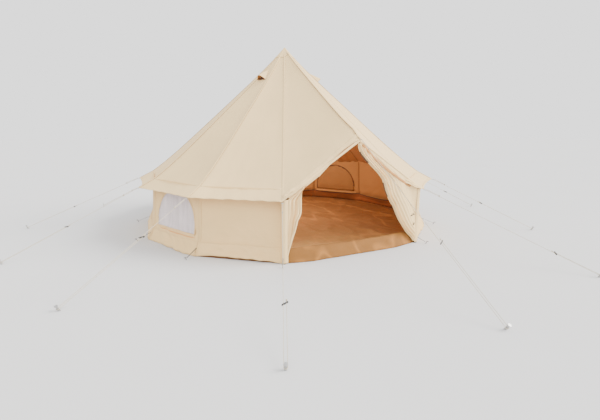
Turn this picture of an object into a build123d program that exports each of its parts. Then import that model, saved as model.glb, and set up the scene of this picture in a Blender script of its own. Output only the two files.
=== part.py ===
"""Round canvas bell tent: centre pole, door frame, twelve-sided roof and walls, guy lines.

Millimetres, +Z up. The origin is on the ground at the middle of the floor. The door faces -Y.
A place is given by its azimuth from the door (degrees, positive towards +X), radius and height.
"""

from build123d import *
from math import cos, radians, sin, sqrt, tan
import os

# ---------------------------------------------------------------- driving dimensions
FLOOR_RADIUS = 2499.0          # corner radius where the wall meets the ground
ROOF_HEIGHT = 3010.0           # top of the canvas over the centre pole
WALL_TOP = (2340.0, 925.0)     # radius and height where the roof breaks over the wall
EAVE_TIP = (2578.0, 803.0)     # radius and height of each eave corner
SKIRT_TOP = (2390.0, 240.0)    # radius and height where the wall flares out to the ground
DOOR_ANGLE = 51.7              # angle that the door side takes; the other eleven share the rest
DOOR_PEAK = (2275.0, 1530.0)   # distance in front of the pole, and height, of the roof over the door
RIDGE_BEND = (2115.0, 1660.0)  # where the roof ridge drops to the door peak
CANVAS = 4.0                   # canvas with its hems and seams
APEX_RADIUS = 45.0             # canvas hole that the apex cap covers
FLOOR_CLOTH = 2.0
TUB_HEIGHT = 170.0
GAP = 0.5                      # between sewn pieces that only touch
CENTRE_POLE_D = 32.0
DOOR_POLE_D = 25.0
TUBE_WALL = 1.5
ROPE_D = 5.0
STAKE_D = 22.0                 # round steel stake that a guy rope goes round
RING_WIRE_D = 5.0
RING_D = 30.0                  # eave ring, across the middle of its wire

SIDE_ANGLE = (360.0 - DOOR_ANGLE) / 11
CORNERS = [DOOR_ANGLE / 2 + SIDE_ANGLE * k for k in range(12)]
SIDE_NAMES = [
    "right_1", "right_2", "right_3", "right_4", "right_5", "back",
    "left_5", "left_4", "left_3", "left_2", "left_1",
]
WINDOW_SIDES = {
    "right_2": "front_right", "right_4": "rear_right",
    "left_4": "rear_left", "left_2": "front_left",
}
VENT_SIDES = ("right_2", "back", "left_2")

# Arched window in the wall's own plane: across the side, and up the wall from the skirt.
WINDOW_HALF_WIDTH = 455.0
WINDOW_SILL = 10.0
WINDOW_SIDES_TOP = 105.0

# Door frame and flaps, across the door (x) and up (z).
DOOR_PLANE = -2258.0
LEG_X = 1072.0
RAFTER_PEAK_Z = 1509.0
RAFTER_FALL = 0.6364           # drop of the rafters for each unit across
FLAP_HALF_THICKNESS = 18.0
LEFT_FLAP_EDGE = [
    (-792, 965), (-839, 898), (-852, 736), (-862, 635), (-908, 551), (-991, 264), (-1030, 60),
]
RIGHT_FLAP_EDGE = [
    (38, 1316), (212, 1160), (374, 1011), (428, 913), (489, 765), (601, 594), (719, 381),
    (838, 232), (990, 60),
]

# Guy lines: name, corner number (None is the door peak), stake azimuth and radius,
# and how far down the rope its runner sits.
GUYS = [
    ("front_right", 0, 24.6, 4690, 1730),
    ("right_1", 1, 51.8, 4210, 860),
    ("right_2", 2, 79.2, 4150, 1000),
    ("right_3", 3, 109.0, 4300, 1050),
    ("right_4", 4, 138.5, 4380, 1150),
    ("rear_right", 5, 165.2, 4350, 1000),
    ("rear_left", 6, -166.4, 4400, 1100),
    ("left_4", 7, -132.6, 4110, 950),
    ("left_3", 8, -106.5, 4400, 1140),
    ("left_2", 9, -80.8, 4310, 1030),
    ("left_1", 10, -54.8, 4300, 770),
    ("front_left", 11, -25.3, 4690, 1600),
    ("door", None, -1.2, 4570, 1750),
]
RING_TURN = (RING_WIRE_D + ROPE_D) / 2 + 0.6   # rope's bend round the ring wire
STAKE_TURN = (STAKE_D + ROPE_D) / 2 + 0.3      # rope's bend round the stake
ROPE_AT_STAKE_Z = 30.0
RING_REACH = 23.0              # from an eave corner to the middle of its ring
RING_DROP = 10.5
KNOT_DISTANCE = 200.0          # from the ring to the knot that closes the rope's upper loop
STOP_KNOT_AHEAD = 45.0         # the rope's end stands this far up from its runner
WALL_PEG_REACH = 2655.0        # radius at which the wall pegs go into the ground
WALL_LOOP_Z = 105.0            # where each peg's loop is sewn to the wall


def place(azimuth, radius, height):
    """A point in the tent's frame."""
    a = radians(azimuth)
    return Vector(radius * sin(a), -radius * cos(a), height)


def outward(azimuth):
    return place(azimuth, 1, 0)


def along(azimuth):
    """Level, across a side, anticlockwise seen from above."""
    return place(azimuth + 90, 1, 0)


def one(shape):
    """The only solid of a shape."""
    found = shape.solids()
    assert len(found) == 1, len(found)
    return found[0]


def solid_between(near, far):
    """A closed solid from two flat outlines with the same number of corners."""
    faces = [Face(Wire.make_polygon(near)), Face(Wire.make_polygon(far))]
    count = len(near)
    for k in range(count):
        n = (k + 1) % count
        faces.append(Face(Wire.make_polygon([near[k], near[n], far[n], far[k]])))
    made = Solid(Shell(faces))
    made.fix()
    return made if made.volume > 0 else -made


def cloth_facet(*corners, thickness=CANVAS):
    """A flat piece of cloth; its thickness is measured straight down."""
    down = Vector(0, 0, -thickness)
    return solid_between(list(corners), [c + down for c in corners])


def ring_band(outline, start, end):
    """A band along one side of the tent, from an outline of (radius, height) corners."""
    near = [place(start, r, z) for r, z in outline]
    far = [place(end, r, z) for r, z in outline]
    return solid_between(near, far)


def rod(start, end, diameter, hole=0.0):
    """A round bar or tube from one point to another."""
    start, end = Vector(start), Vector(end)
    plane = Plane(origin=start, z_dir=end - start)
    length = (end - start).length
    bar = Solid.make_cylinder(diameter / 2, length, plane)
    if hole:
        bar = bar - Solid.make_cylinder(hole / 2, length, plane)
    return one(bar)


def write(name, *solids):
    shape = solids[0] if len(solids) == 1 else Compound(children=list(solids))
    shape.label = name
    export_step(shape, f"parts/{name}.step")


def sides():
    """(name, first corner's azimuth, last corner's azimuth) of the eleven closed sides."""
    return [(n, CORNERS[k], CORNERS[k + 1]) for k, n in enumerate(SIDE_NAMES)]


def roof_height(radius):
    """Height of the roof's upper face along a corner seam."""
    return ROOF_HEIGHT + (WALL_TOP[1] - ROOF_HEIGHT) * radius / WALL_TOP[0]


# ---------------------------------------------------------------- roof
def roof_canvas():
    """Eleven gores, and the two halves of the door gore that the door peak holds up."""
    top = [place(a, APEX_RADIUS, roof_height(APEX_RADIUS)) for a in CORNERS]
    low = [place(a, *WALL_TOP) for a in CORNERS]
    gores = [cloth_facet(top[k], low[k], low[k + 1], top[k + 1]) for k in range(11)]
    ridge = place(0, APEX_RADIUS, roof_height(APEX_RADIUS))
    bend = place(0, *RIDGE_BEND)
    peak = place(0, *DOOR_PEAK)
    for corner in (0, 11):
        eave = place(CORNERS[corner], *EAVE_TIP)
        gores.append(cloth_facet(ridge, top[corner], bend))
        gores.append(cloth_facet(top[corner], low[corner], bend))
        gores.append(cloth_facet(bend, low[corner], peak))
        gores.append(cloth_facet(low[corner], eave, peak))
    return gores


def eave_valance():
    """The strip of roof that flares out past the wall on the eleven closed sides."""
    return [
        cloth_facet(place(a, *WALL_TOP), place(a, *EAVE_TIP), place(b, *EAVE_TIP), place(b, *WALL_TOP))
        for _, a, b in sides()
    ]


def apex_cap():
    """Reinforced cap sewn over the top of the roof."""
    radius, lift = 165.0, 12.0
    centre = Vector(0, 0, ROOF_HEIGHT + lift)
    inner_z = roof_height(APEX_RADIUS)
    ridge_slope = (RIDGE_BEND[1] - inner_z) / (RIDGE_BEND[0] - APEX_RADIUS)
    ridge_z = inner_z + ridge_slope * (radius - APEX_RADIUS)
    rim = [place(a, radius, roof_height(radius) + lift) for a in CORNERS]
    rim.append(place(0, radius, ridge_z + lift))
    made = cloth_facet(centre, rim[12], rim[0])
    for k in range(12):
        made = made + cloth_facet(centre, rim[k], rim[k + 1])
    return one(made)


def vent_hood(azimuth):
    """Peaked hood over a roof vent, open down the slope."""
    apothem = cos(radians(SIDE_ANGLE / 2))
    upper, mouth, half_width, rise = 500.0, 640.0, 80.0, 70.0
    lift = CANVAS + GAP

    def on_roof(radius, across, up=0.0):
        return place(azimuth, radius * apothem, roof_height(radius) + lift + up) + along(azimuth) * across

    tail = on_roof(upper, 0)
    ridge = on_roof(mouth, 0, rise)
    left = on_roof(mouth, -half_width)
    right = on_roof(mouth, half_width)
    return one(cloth_facet(tail, left, ridge) + cloth_facet(tail, ridge, right))


# ---------------------------------------------------------------- walls and windows
def wall_panel(start, end):
    foot, knee, top = (FLOOR_RADIUS, 0.0), SKIRT_TOP, (WALL_TOP[0] - 4.0, WALL_TOP[1] - 1.0)
    outline = [foot, knee, top]
    inner = [(r - CANVAS, z) for r, z in reversed(outline)]
    return ring_band(outline + inner, start, end)


def wall_plane(start, end):
    """Plane of a wall's outer face above the skirt, x across it and y up it."""
    middle = (start + end) / 2
    apothem = cos(radians(SIDE_ANGLE / 2))
    lean = (SKIRT_TOP[0] - (WALL_TOP[0] - 4.0)) * apothem / (WALL_TOP[1] - 1.0 - SKIRT_TOP[1])
    normal = outward(middle) + Vector(0, 0, lean)
    origin = place(middle, SKIRT_TOP[0] * apothem, SKIRT_TOP[1])
    return Plane(origin=origin, x_dir=along(middle), z_dir=normal)


def arch(plane, grow, back, front):
    """An arched slab in a wall's plane, from back to front of it."""
    half = WINDOW_HALF_WIDTH + grow
    sill = WINDOW_SILL - grow
    outline = Wire([
        Edge.make_line((-half, WINDOW_SIDES_TOP), (-half, sill)),
        Edge.make_line((-half, sill), (half, sill)),
        Edge.make_line((half, sill), (half, WINDOW_SIDES_TOP)),
        Edge.make_three_point_arc(
            (half, WINDOW_SIDES_TOP), (0, WINDOW_SIDES_TOP + half), (-half, WINDOW_SIDES_TOP)
        ),
    ])
    slab = extrude(Face(outline), amount=front - back, dir=(0, 0, 1))
    return one(plane * (Pos(0, 0, back) * slab))


# ---------------------------------------------------------------- floor
def groundsheet():
    rim = [place(a, FLOOR_RADIUS - 9.0, 0) for a in CORNERS]
    return one(extrude(Face(Wire.make_polygon(rim)), amount=FLOOR_CLOTH, dir=(0, 0, 1)))


def tub_wall():
    """The groundsheet's raised edge on all twelve sides; on the door side it is the sill."""
    foot = (FLOOR_RADIUS - 9.0, FLOOR_CLOTH)
    rim = (FLOOR_RADIUS - 87.0, TUB_HEIGHT)
    outline = [foot, rim, (rim[0] - 3.0, rim[1]), (foot[0] - 3.0, foot[1])]
    corners = CORNERS + [CORNERS[0] + 360.0]
    return [ring_band(outline, corners[k], corners[k + 1]) for k in range(12)]


# ---------------------------------------------------------------- poles
def centre_pole():
    """Three steel tubes, each with a spigot that the next one slides over, a foot and a cap."""
    bore = CENTRE_POLE_D - 2 * TUBE_WALL
    spigot, inside = bore - 0.2, bore - 0.2 - 2 * TUBE_WALL
    joints = [8.0, 1000.0, 2000.0, 2930.0]
    names = ["centre_pole_lower", "centre_pole_middle", "centre_pole_upper"]
    for k, name in enumerate(names):
        tube = rod((0, 0, joints[k]), (0, 0, joints[k + 1]), CENTRE_POLE_D, bore)
        if k < 2:
            root = rod((0, 0, joints[k + 1] - 60), (0, 0, joints[k + 1] - GAP), bore, inside)
            neck = rod((0, 0, joints[k + 1] - GAP), (0, 0, joints[k + 1] + 90), spigot, inside)
            tube = one(tube + root + neck)
        write(name, tube)
    foot = Solid.make_cylinder(45, 20, Plane((0, 0, FLOOR_CLOTH)))
    foot = foot - Solid.make_cylinder(CENTRE_POLE_D / 2 + 0.1, 20, Plane((0, 0, 8)))
    write("centre_pole_foot", one(foot))
    head = Solid.make_cylinder(38, 22, Plane((0, 0, joints[3])))
    dome_radius = 45.0
    dome = Pos(0, 0, joints[3] + 22 - 18) * Solid.make_sphere(dome_radius, angle1=0, angle2=90, angle3=360)
    dome = dome & Solid.make_cylinder(38, 60, Plane((0, 0, joints[3])))
    stem = Solid.make_cylinder(spigot / 2, 50, Plane((0, 0, joints[3] - 49)))
    write("centre_pole_cap", one(head + dome + stem))


def elbow(corner, ends, depth=60.0, socket=42.0):
    """Cast joint that two door poles push into."""
    outside = DOOR_POLE_D + 6.0
    body = Pos(*corner) * Solid.make_sphere(outside / 2, angle1=-90, angle2=90, angle3=360)
    holes = []
    for end in ends:
        away = (Vector(end) - Vector(corner)).normalized()
        body = body + rod(Vector(corner), Vector(corner) + away * depth, outside)
        holes.append(rod(Vector(corner) + away * (depth - socket), Vector(corner) + away * (depth + 1),
                         DOOR_POLE_D + 0.2))
    for hole in holes:
        body = body - hole
    return one(body)


def door_frame():
    """Two legs, two rafters, a peak joint, two knee joints and two feet."""
    knee_z = RAFTER_PEAK_Z - RAFTER_FALL * LEG_X
    peak = Vector(0, DOOR_PLANE, RAFTER_PEAK_Z)
    bore = DOOR_POLE_D - 2 * TUBE_WALL
    reach = 20.0
    knees, feet = [], []
    for name, x in (("left", -LEG_X), ("right", LEG_X)):
        knee = Vector(x, DOOR_PLANE, knee_z)
        down = (peak - knee).normalized()
        foot = Vector(x, DOOR_PLANE, 6.0)
        write(f"door_leg_{name}", rod(foot, knee - Vector(0, 0, reach), DOOR_POLE_D, bore))
        write(f"door_rafter_{name}", rod(knee + down * reach, peak - down * reach, DOOR_POLE_D, bore))
        knees.append(elbow(knee, [knee - Vector(0, 0, 1), knee + down]))
        pad = Solid.make_cylinder(16, 30, Plane(Vector(x, DOOR_PLANE, 0)))
        feet.append(one(pad - Solid.make_cylinder(DOOR_POLE_D / 2 + 0.1, 30, Plane(foot))))
    slope = Vector(LEG_X, 0, -RAFTER_FALL * LEG_X)
    mirrored = Vector(-LEG_X, 0, -RAFTER_FALL * LEG_X)
    write("door_peak_joint", elbow(peak, [peak + slope, peak + mirrored]))
    write("door_knee_joints", *knees)
    write("door_leg_feet", *feet)


# ---------------------------------------------------------------- door fabric
def under_rafter(x, drop):
    """Height of a point that hangs this far below a rafter's centre line, square to it."""
    return RAFTER_PEAK_Z - RAFTER_FALL * abs(x) - drop * sqrt(1 + RAFTER_FALL**2)


def hanging_cloth(outline, y_back, y_front):
    """A slab of gathered cloth that hangs across the door."""
    face = Face(Wire.make_polygon([(x, y_front, z) for x, z in outline]))
    return one(extrude(face, amount=y_back - y_front, dir=(0, 1, 0)))


def door_flaps():
    hem_x, hem_z, drop = 1045.0, 40.0, 18.0
    front, back = DOOR_PLANE - FLAP_HALF_THICKNESS, DOOR_PLANE + FLAP_HALF_THICKNESS
    inner = LEFT_FLAP_EDGE[0][0]
    left = [(-hem_x, under_rafter(hem_x, drop)), (inner, under_rafter(inner, drop))]
    left += LEFT_FLAP_EDGE[1:] + [(-hem_x, hem_z)]
    write("door_flap_left", hanging_cloth(left, back, front))
    right = [(hem_x, under_rafter(hem_x, drop)), (30, under_rafter(30, drop))]
    right += RIGHT_FLAP_EDGE + [(hem_x, hem_z)]
    write("door_flap_right", hanging_cloth(right, back, front))


def insect_doors():
    """Mesh inner doors, gathered behind the canvas flaps."""
    edge, sill, drop = 1040.0, TUB_HEIGHT + 10.0, 22.0
    front, back = DOOR_PLANE + 28.0, DOOR_PLANE + 36.0
    gathered = [(-900, None), (-880, 700), (-925, 560), (-1000, 280), (-1010, sill)]
    drawn = [(480, None), (520, 800), (640, 600), (760, 390), (880, 240), (960, sill)]
    for name, side, points in (("left", -1, gathered), ("right", 1, drawn)):
        top = points[0][0]
        outline = [(side * edge, under_rafter(edge, drop)), (top, under_rafter(top, drop))]
        outline += points[1:] + [(side * edge, sill)]
        write(f"insect_door_{name}", hanging_cloth(outline, back, front))


# ---------------------------------------------------------------- rings, stakes and pegs
def tips():
    """Azimuth, radius and height of each point that holds a guy rope."""
    return {
        name: (0.0, *DOOR_PEAK) if corner is None else (CORNERS[corner], *EAVE_TIP)
        for name, corner, _, _, _ in GUYS
    }


def ring_centre(azimuth, radius, height):
    return place(azimuth, radius + RING_REACH, height - RING_DROP)


def eave_rings():
    made = []
    for tip in tips().values():
        plane = Plane(origin=ring_centre(*tip), x_dir=outward(tip[0]), z_dir=(0, 0, 1))
        made.append(Solid.make_torus(RING_D / 2, RING_WIRE_D / 2, plane))
    return made


def eave_tabs():
    """Webbing tab that holds each ring to its seam."""
    length, width, thickness = 17.0, 14.0, 3.0
    made = []
    for azimuth, radius, height in tips().values():
        middle = place(azimuth, radius + 14.0 - length / 2, height - RING_DROP)
        plane = Plane(origin=middle, x_dir=outward(azimuth), z_dir=(0, 0, 1))
        made.append(one(plane * Box(length, width, thickness)))
    return made


def guy_line(guy):
    """Start of the rope at its ring, its direction, level side and upward normal, and length."""
    name, _, azimuth, radius, _ = guy
    tip = tips()[name]
    start = ring_centre(*tip) + outward(tip[0]) * (RING_D / 2)
    stake = place(azimuth, radius, ROPE_AT_STAKE_Z)
    line = stake - start
    direction = line.normalized()
    side = Vector(0, 0, 1).cross(direction).normalized()
    normal = direction.cross(side)
    return start, direction, side, normal, line.length


def guy_route(guy):
    """The rope's route: down from its upper knot to the ring and back, round the stake, to the runner."""
    start, direction, side, normal, length = guy_line(guy)
    loop, turn = RING_TURN, STAKE_TURN

    def at(down, across, up):
        return start + direction * down + side * across + normal * up

    points = [
        at(KNOT_DISTANCE, 0, loop), at(-loop, 0, loop), at(-loop, 0, -loop),
        at(length + turn, 0, -loop), at(length + turn, 2 * turn, -loop),
        at(guy[4] - STOP_KNOT_AHEAD, 2 * turn, -loop),
    ]
    return points, [loop, loop, turn, turn]


def rounded(points, radii):
    """Straight runs joined by tangent arcs."""
    edges, at = [], points[0]
    for before, corner, after, radius in zip(points, points[1:], points[2:], radii, strict=False):
        back = (before - corner).normalized()
        ahead = (after - corner).normalized()
        half = radians(back.get_angle(ahead)) / 2
        cut = radius / tan(half)
        first, last = corner + back * cut, corner + ahead * cut
        middle = (back + ahead).normalized()
        centre = corner + middle * (radius / sin(half))
        if (first - at).length > 0.01:
            edges.append(Edge.make_line(at, first))
        edges.append(Edge.make_three_point_arc(first, centre - middle * radius, last))
        at = last
    edges.append(Edge.make_line(at, points[-1]))
    return Wire(edges)


def guy_rope(guy):
    points, radii = guy_route(guy)
    path = rounded(points, radii)
    circle = Plane(origin=path @ 0, z_dir=path % 0) * Circle(ROPE_D / 2)
    rope = one(sweep(circle, path=path))
    expected = path.length * Circle(ROPE_D / 2).area
    print(f"guy_rope_{guy[0]}: {path.length:.0f} mm, radii {radii}, volume {rope.volume / expected:.3f}")
    return rope


def guy_runner(guy):
    """Two-hole bar that slides on the rope, tilted so that it grips."""
    start, direction, side, normal, _ = guy_line(guy)
    spacing = 2 * STAKE_TURN
    bar_length, bar_width, bar_thickness, tilt = 66.0, 18.0, 9.0, 35.0
    hole = ROPE_D + 0.8
    middle = start + direction * guy[4] + side * STAKE_TURN - normal * RING_TURN
    frame = Plane(origin=middle, x_dir=side, z_dir=direction)
    bar = Rot(0, tilt, 0) * Box(bar_length, bar_width, bar_thickness)
    bar = fillet(bar.edges(), 2.0)
    for x in (-spacing / 2, spacing / 2):
        bar = bar - Pos(x, 0, 0) * Cylinder(hole / 2, 60)
    return one(frame * bar)


def guy_stakes():
    made = []
    for guy in GUYS:
        start, direction, side, normal, length = guy_line(guy)
        centre = start + direction * length + side * STAKE_TURN - normal * RING_TURN
        shank = rod(centre - normal * 60, centre + normal * 30, STAKE_D)
        head = rod(centre + normal * 30, centre + normal * 38, STAKE_D + 10)
        ground = Pos(*Vector(centre.X, centre.Y, -100)) * Box(300, 300, 200)
        made.append(one(shank + head - ground))
    return made


def wall_pegs():
    """The part of each wall peg that stands above the ground, with its hook."""
    made = []
    for azimuth in CORNERS:
        foot = place(azimuth, WALL_PEG_REACH, 0)
        lean = (Vector(0, 0, 1) + outward(azimuth) * 0.35).normalized()
        bend = foot + lean * 40
        path = rounded([foot - lean * 20, bend, bend + outward(azimuth) * 24], [8.0])
        bar = sweep(Plane(origin=path @ 0, z_dir=path % 0) * Circle(4), path=path)
        ground = Pos(foot.X, foot.Y, -50) * Box(120, 120, 100)
        made.append(one(bar - ground))
    return made


def wall_peg_loops():
    """Webbing loop from each wall corner to its peg."""
    made = []
    for azimuth in CORNERS:
        flare = (FLOOR_RADIUS - SKIRT_TOP[0]) / SKIRT_TOP[1]
        start = place(azimuth, FLOOR_RADIUS - flare * WALL_LOOP_Z + 3.0, WALL_LOOP_Z)
        end = place(azimuth, WALL_PEG_REACH - 7.0, 26.0)
        line = end - start
        plane = Plane(origin=(start + end) / 2, x_dir=line, z_dir=along(azimuth).cross(line) * -1)
        made.append(one(plane * Box(line.length, 12, 2.5)))
    return made


# ---------------------------------------------------------------- everything
def main():
    os.makedirs("parts", exist_ok=True)
    write("roof_canvas", *roof_canvas())
    write("eave_valance", *eave_valance())
    write("apex_cap", apex_cap())
    middles = {name: (a + b) / 2 for name, a, b in sides()}
    write("vent_hoods", *[vent_hood(middles[name]) for name in VENT_SIDES])

    plain, framed, meshes = [], [], []
    for name, a, b in sides():
        panel = wall_panel(a, b)
        if name not in WINDOW_SIDES:
            plain.append(panel)
            continue
        plane = wall_plane(a, b)
        framed.append(one(panel - arch(plane, 0.0, -40.0, 20.0)))
        meshes.append(arch(plane, -0.3, -3.0, -1.0))
        write(f"window_cover_{WINDOW_SIDES[name]}", arch(plane, 15.0, -8.0, -5.0))
    write("plain_wall_panels", *plain)
    write("window_wall_panels", *framed)
    write("window_meshes", *meshes)

    write("groundsheet", groundsheet())
    write("tub_wall", *tub_wall())
    centre_pole()
    door_frame()
    door_flaps()
    insect_doors()
    write("eave_rings", *eave_rings())
    write("eave_tabs", *eave_tabs())
    for guy in GUYS:
        write(f"guy_rope_{guy[0]}", guy_rope(guy))
        write(f"guy_runner_{guy[0]}", guy_runner(guy))
    write("guy_stakes", *guy_stakes())
    write("wall_pegs", *wall_pegs())
    write("wall_peg_loops", *wall_peg_loops())


main()
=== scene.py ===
from math import atan2, ceil, copysign, cos, exp, hypot, pi, radians, sin, sqrt

import bmesh
import bpy
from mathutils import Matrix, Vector, noise
from mathutils.geometry import delaunay_2d_cdt


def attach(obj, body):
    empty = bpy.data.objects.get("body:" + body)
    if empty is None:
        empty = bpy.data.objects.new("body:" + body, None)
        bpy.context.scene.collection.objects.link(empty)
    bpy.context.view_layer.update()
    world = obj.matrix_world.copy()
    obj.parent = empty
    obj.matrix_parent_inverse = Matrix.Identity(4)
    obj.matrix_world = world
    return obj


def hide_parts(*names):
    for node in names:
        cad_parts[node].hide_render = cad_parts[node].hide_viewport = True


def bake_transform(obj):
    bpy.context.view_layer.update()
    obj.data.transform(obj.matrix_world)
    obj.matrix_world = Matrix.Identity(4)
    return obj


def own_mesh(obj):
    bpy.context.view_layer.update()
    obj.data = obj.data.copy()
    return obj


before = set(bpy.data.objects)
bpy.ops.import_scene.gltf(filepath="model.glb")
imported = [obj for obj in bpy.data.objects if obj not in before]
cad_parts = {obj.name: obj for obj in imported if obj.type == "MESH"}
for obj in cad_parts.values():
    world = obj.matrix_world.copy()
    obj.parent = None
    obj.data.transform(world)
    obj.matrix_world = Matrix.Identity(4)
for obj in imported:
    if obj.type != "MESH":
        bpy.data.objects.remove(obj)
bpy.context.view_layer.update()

# ---------------------------------------------------------------- sizes in metres, as in the CAD model
FLOOR_RADIUS = 2.499
ROOF_HEIGHT = 3.010
WALL_TOP = (2.340, 0.925)
EAVE_TIP = (2.578, 0.803)
SKIRT_TOP = (2.390, 0.240)
DOOR_ANGLE = 51.7
DOOR_PEAK = (2.275, 1.530)
RIDGE_BEND = (2.115, 1.660)
DOOR_PLANE = -2.258
RAFTER_PEAK_Z = 1.509
RAFTER_FALL = 0.6364
SIDE_ANGLE = (360 - DOOR_ANGLE) / 11
HALF_DOOR = DOOR_ANGLE / 2
CORNERS = [HALF_DOOR + SIDE_ANGLE * k for k in range(12)]
APOTHEM = cos(radians(SIDE_ANGLE / 2))
HALF_SIDE = sin(radians(SIDE_ANGLE / 2))
WINDOW_SIDES = {1: "front_right", 3: "rear_right", 7: "rear_left", 9: "front_left"}
VENT_SIDES = (1, 5, 9)
WINDOW_RADIUS = 0.455
WINDOW_SILL_Z = 0.250
WINDOW_CENTRE_Z = 0.344

# How the cloth hangs between what holds it.
ROOF_SAG = 0.060               # of each corner seam, below the straight line from apex to wall
GORE_SAG = 0.022               # of the middle of each gore, below its two seams
EAVE_SCALLOP = 0.030           # of the eave between two corners
CLOTH = 0.0012                 # thickness of the canvas
TRIM = 0.0008                  # and of what is sewn on it
REAR_GORES = range(3, 8)       # their cloth is gathered in pleats that show from the door
RIGHT_DROOP = 0.100            # of the roof's front edge right of the door, below a straight line
LEFT_RISE = 0.036              # left of the door, near the peak, above it
LEFT_DROOP = 0.010             # and further down, below it

# Guy lines, as in the CAD model: name, corner, stake azimuth and radius, distance down to the runner.
GUYS = [
    ("front_right", 0, 24.6, 4.690, 1.730),
    ("right_1", 1, 51.8, 4.210, 0.860),
    ("right_2", 2, 79.2, 4.150, 1.000),
    ("right_3", 3, 109.0, 4.300, 1.050),
    ("right_4", 4, 138.5, 4.380, 1.150),
    ("rear_right", 5, 165.2, 4.350, 1.000),
    ("rear_left", 6, -166.4, 4.400, 1.100),
    ("left_4", 7, -132.6, 4.110, 0.950),
    ("left_3", 8, -106.5, 4.400, 1.140),
    ("left_2", 9, -80.8, 4.310, 1.030),
    ("left_1", 10, -54.8, 4.300, 0.770),
    ("front_left", 11, -25.3, 4.690, 1.600),
    ("door", None, -1.2, 4.570, 1.750),
]
ROPE_D = 0.005
RING_REACH = 0.023
RING_DROP = 0.0105
RING_RADIUS = 0.015
ROPE_AT_STAKE_Z = 0.030
RING_TURN = 0.0056
STAKE_TURN = 0.0138
KNOT_DISTANCE = 0.200
STOP_KNOT_AHEAD = 0.045
NEAR_END = 0.030               # from a ring or stake to the point that keeps the rope straight up to it
TURN_OUT = 0.0012              # how far the route's corners stand outside the rope
TURN_SAVING = 0.012            # what the rope saves by rounding them


def place(azimuth, radius, height):
    """A point, from its azimuth from the door (degrees, positive towards +X), radius and height."""
    a = radians(azimuth)
    return Vector((radius * sin(a), -radius * cos(a), height))


def outward(azimuth):
    return place(azimuth, 1, 0)


def along(azimuth):
    return place(azimuth + 90, 1, 0)


def link(obj):
    bpy.context.scene.collection.objects.link(obj)
    return obj


# ---------------------------------------------------------------- camera
def make_camera():
    data = bpy.data.cameras.new("camera")
    data.sensor_width = 36.0
    data.lens = 23.41
    data.shift_x = 0.0112
    camera = link(bpy.data.objects.new("camera", data))
    camera.location = (-3.030, -6.465, 1.675)
    camera.rotation_euler = (radians(90 - 11.99), 0, radians(-26.31))
    bpy.context.scene.camera = camera


make_camera()


# ---------------------------------------------------------------- materials
WAVE_PERIOD = 0.3183           # about one period of Blender's wave texture at scale 1
THREAD = 0.0011                # spacing of the canvas's threads
NET = 0.0016                   # and of the mesh's


class Nodes:
    """A material whose colour, roughness and bump come from procedural nodes."""

    def __init__(self, name, roughness=0.9, metallic=0.0, sheen=0.0, alpha=1.0):
        self.material = bpy.data.materials.new(name)
        self.material.use_nodes = True
        self.tree = self.material.node_tree
        self.shader = self.tree.nodes["Principled BSDF"]
        self.shader.inputs["Roughness"].default_value = roughness
        self.shader.inputs["Metallic"].default_value = metallic
        self.shader.inputs["Sheen Weight"].default_value = sheen
        self.shader.inputs["Alpha"].default_value = alpha
        self.places = self.tree.nodes.new("ShaderNodeTexCoord")

    def add(self, kind, inputs=(), **settings):
        made = self.tree.nodes.new(kind)
        for key, value in settings.items():
            setattr(made, key, value)
        for key, value in dict(inputs).items():
            if isinstance(value, bpy.types.NodeSocket):
                self.tree.links.new(value, made.inputs[key])
            else:
                made.inputs[key].default_value = value
        return made

    def noise(self, scale, detail=4.0, stretch=(1, 1, 1), source="Object"):
        places = self.add("ShaderNodeMapping", {"Vector": self.places.outputs[source], "Scale": stretch})
        inputs = {"Vector": places.outputs[0], "Scale": scale, "Detail": detail, "Roughness": 0.55}
        return self.add("ShaderNodeTexNoise", inputs).outputs["Fac"]

    def bands(self, spacing, direction, distortion=0.0):
        """Even bands in the piece's own metric UVs, this far apart."""
        inputs = {"Vector": self.places.outputs["UV"], "Scale": WAVE_PERIOD / spacing}
        inputs["Distortion"] = distortion
        return self.add("ShaderNodeTexWave", inputs, bands_direction=direction).outputs["Fac"]

    def math(self, operation, a, b=0.0):
        return self.add("ShaderNodeMath", {0: a, 1: b}, operation=operation).outputs[0]

    def ramp(self, factor, *stops):
        """A colour ramp; each stop is a position and a linear colour."""
        made = self.add("ShaderNodeValToRGB", {"Fac": factor})
        elements = made.color_ramp.elements
        while len(elements) < len(stops):
            elements.new(0.5)
        for element, (position, colour) in zip(elements, stops):
            element.position = position
            element.color = (*colour, 1.0)
        return made.outputs["Color"]

    def tones(self, factor, colour, *stops):
        """A ramp through shades of one colour; each stop is a position and a brightness."""
        return self.ramp(factor, *((position, scaled(colour, shade)) for position, shade in stops))

    def mix(self, factor, a, b):
        made = self.add("ShaderNodeMix", data_type="RGBA")
        for socket, value in ((made.inputs[0], factor), (made.inputs[6], a), (made.inputs[7], b)):
            if isinstance(value, bpy.types.NodeSocket):
                self.tree.links.new(value, socket)
            else:
                socket.default_value = value if isinstance(value, float) else (*value, 1.0)
        return made.outputs[2]

    def finish(self, colour, height=None, strength=0.3, distance=0.001, roughness=None):
        self.tree.links.new(colour, self.shader.inputs["Base Color"])
        if roughness is not None:
            self.tree.links.new(roughness, self.shader.inputs["Roughness"])
        if height is not None:
            bump = self.add("ShaderNodeBump", {"Height": height, "Strength": strength, "Distance": distance})
            self.tree.links.new(bump.outputs[0], self.shader.inputs["Normal"])
        return self.material


def scaled(colour, factor):
    return tuple(min(1.0, c * factor) for c in colour)


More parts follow.
